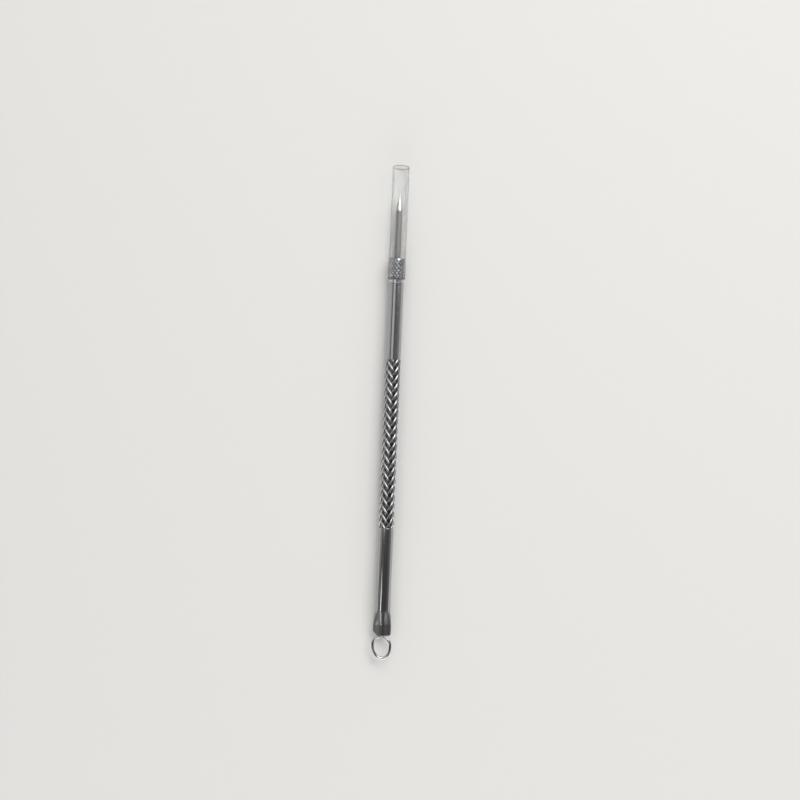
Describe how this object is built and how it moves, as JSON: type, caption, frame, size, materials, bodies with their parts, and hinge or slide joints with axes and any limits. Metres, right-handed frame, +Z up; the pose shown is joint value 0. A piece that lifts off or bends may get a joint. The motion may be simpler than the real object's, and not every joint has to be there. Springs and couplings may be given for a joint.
{
  "type": "blackhead extractor",
  "caption": "Double-ended steel blackhead extractor: wire loop, woven-pattern tube grip, and a spear needle under a clear push-on cap.",
  "frame": {"origin": "on the surface the tool lies on, below the middle of its whole length with the cap on", "axes": "+Y along the handle towards the needle and cap, +X across the handle in the plane of the wire loop, +Z up"},
  "size_m": [0.0052, 0.1263, 0.0044],
  "materials": {
    "tube_steel": "polished tube, rolled woven grip",
    "collar_steel": "fine cross knurl",
    "needle_steel": "satin shank, ground point",
    "wire_steel": "polished wire",
    "clear_plastic": "clear, glossy"
  },
  "bodies": {
    "tool": {"handle_tube": "tube_steel", "needle_collar": "collar_steel", "needle": "needle_steel", "wire_loop": "wire_steel"},
    "cap": {"needle_cap": "clear_plastic"}
  },
  "joints": [
    {"name": "cap_slide", "type": "slide", "parent": "tool", "child": "cap", "axis": [0, 1, 0], "range_m": [0, 0.03]}
  ]
}
